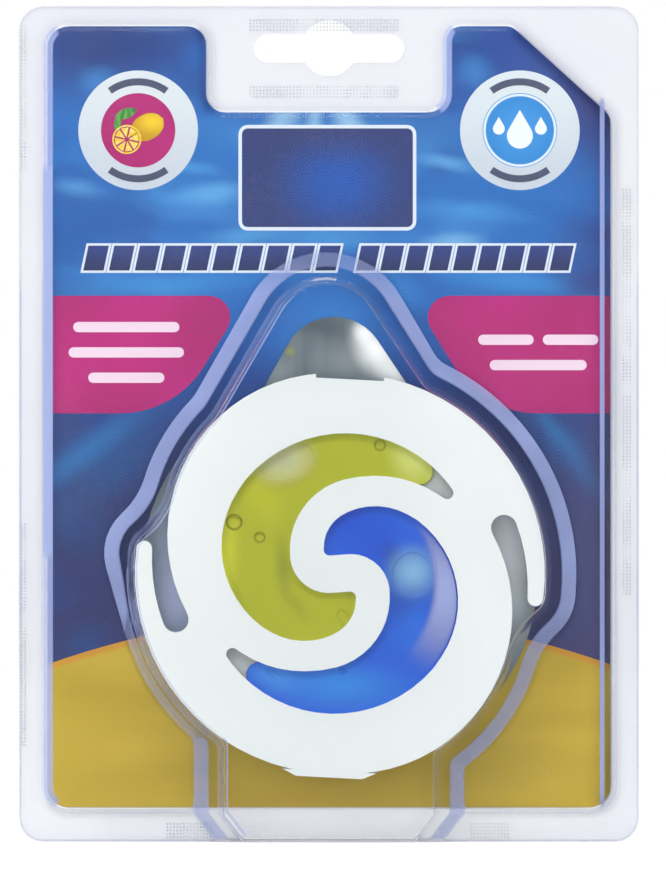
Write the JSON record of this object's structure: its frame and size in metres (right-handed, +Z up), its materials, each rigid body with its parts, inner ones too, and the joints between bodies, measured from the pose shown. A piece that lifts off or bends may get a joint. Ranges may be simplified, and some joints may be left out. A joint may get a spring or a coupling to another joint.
{
  "type": "dishwasher freshener in a hanging blister pack",
  "caption": "Clear hanging blister pack with a printed card, holding a round white freshener whose yellow and blue gels show in comma-shaped windows",
  "frame": {"origin": "middle of the pack's lower edge, halfway between its back and the front of its blister", "axes": "+Z up to the hanging slot, -Y out of the printed front, +X to the right as seen from the front"},
  "size_m": [0.115, 0.0172, 0.155],
  "materials": {
    "clear_film": "clear thermoformed film, glossy, with a pattern of weld dots at its edge",
    "blue_card": "coated card with a watery blue print",
    "white_plastic": "satin moulded plastic",
    "clear_tray": "clear thermoformed tray",
    "yellow_gel": "translucent yellow gel",
    "blue_gel": "translucent blue gel",
    "foil": "soft bright foil",
    "yellow_ink": "printed field",
    "magenta_ink": "printed field",
    "white_ink": "printed field",
    "navy_ink": "printed field",
    "grey_ink": "printed field",
    "sky_ink": "printed field",
    "lemon_ink": "printed field",
    "slice_ink": "printed field",
    "green_ink": "printed field"
  },
  "bodies": {
    "root": {"front_blister": "clear_film", "back_sheet": "clear_film", "card": "blue_card", "freshener_frame": "white_plastic", "gel_tray": "clear_tray", "yellow_gel": "yellow_gel", "blue_gel": "blue_gel", "foil_lid": "foil", "print_yellow_field": "yellow_ink", "print_left_flash": "magenta_ink", "print_right_flash": "magenta_ink", "print_flash_lines": "white_ink", "print_panel_border": "white_ink", "print_panel": "navy_ink", "print_title_edges": "white_ink", "print_title_blocks": "navy_ink", "print_badge_rings": "grey_ink", "print_badge_marks": "navy_ink", "print_left_disc": "magenta_ink", "print_right_disc": "sky_ink", "print_lemon": "lemon_ink", "print_lemon_slice": "slice_ink", "print_leaves": "green_ink", "print_drops": "white_ink"}
  },
  "joints": []
}
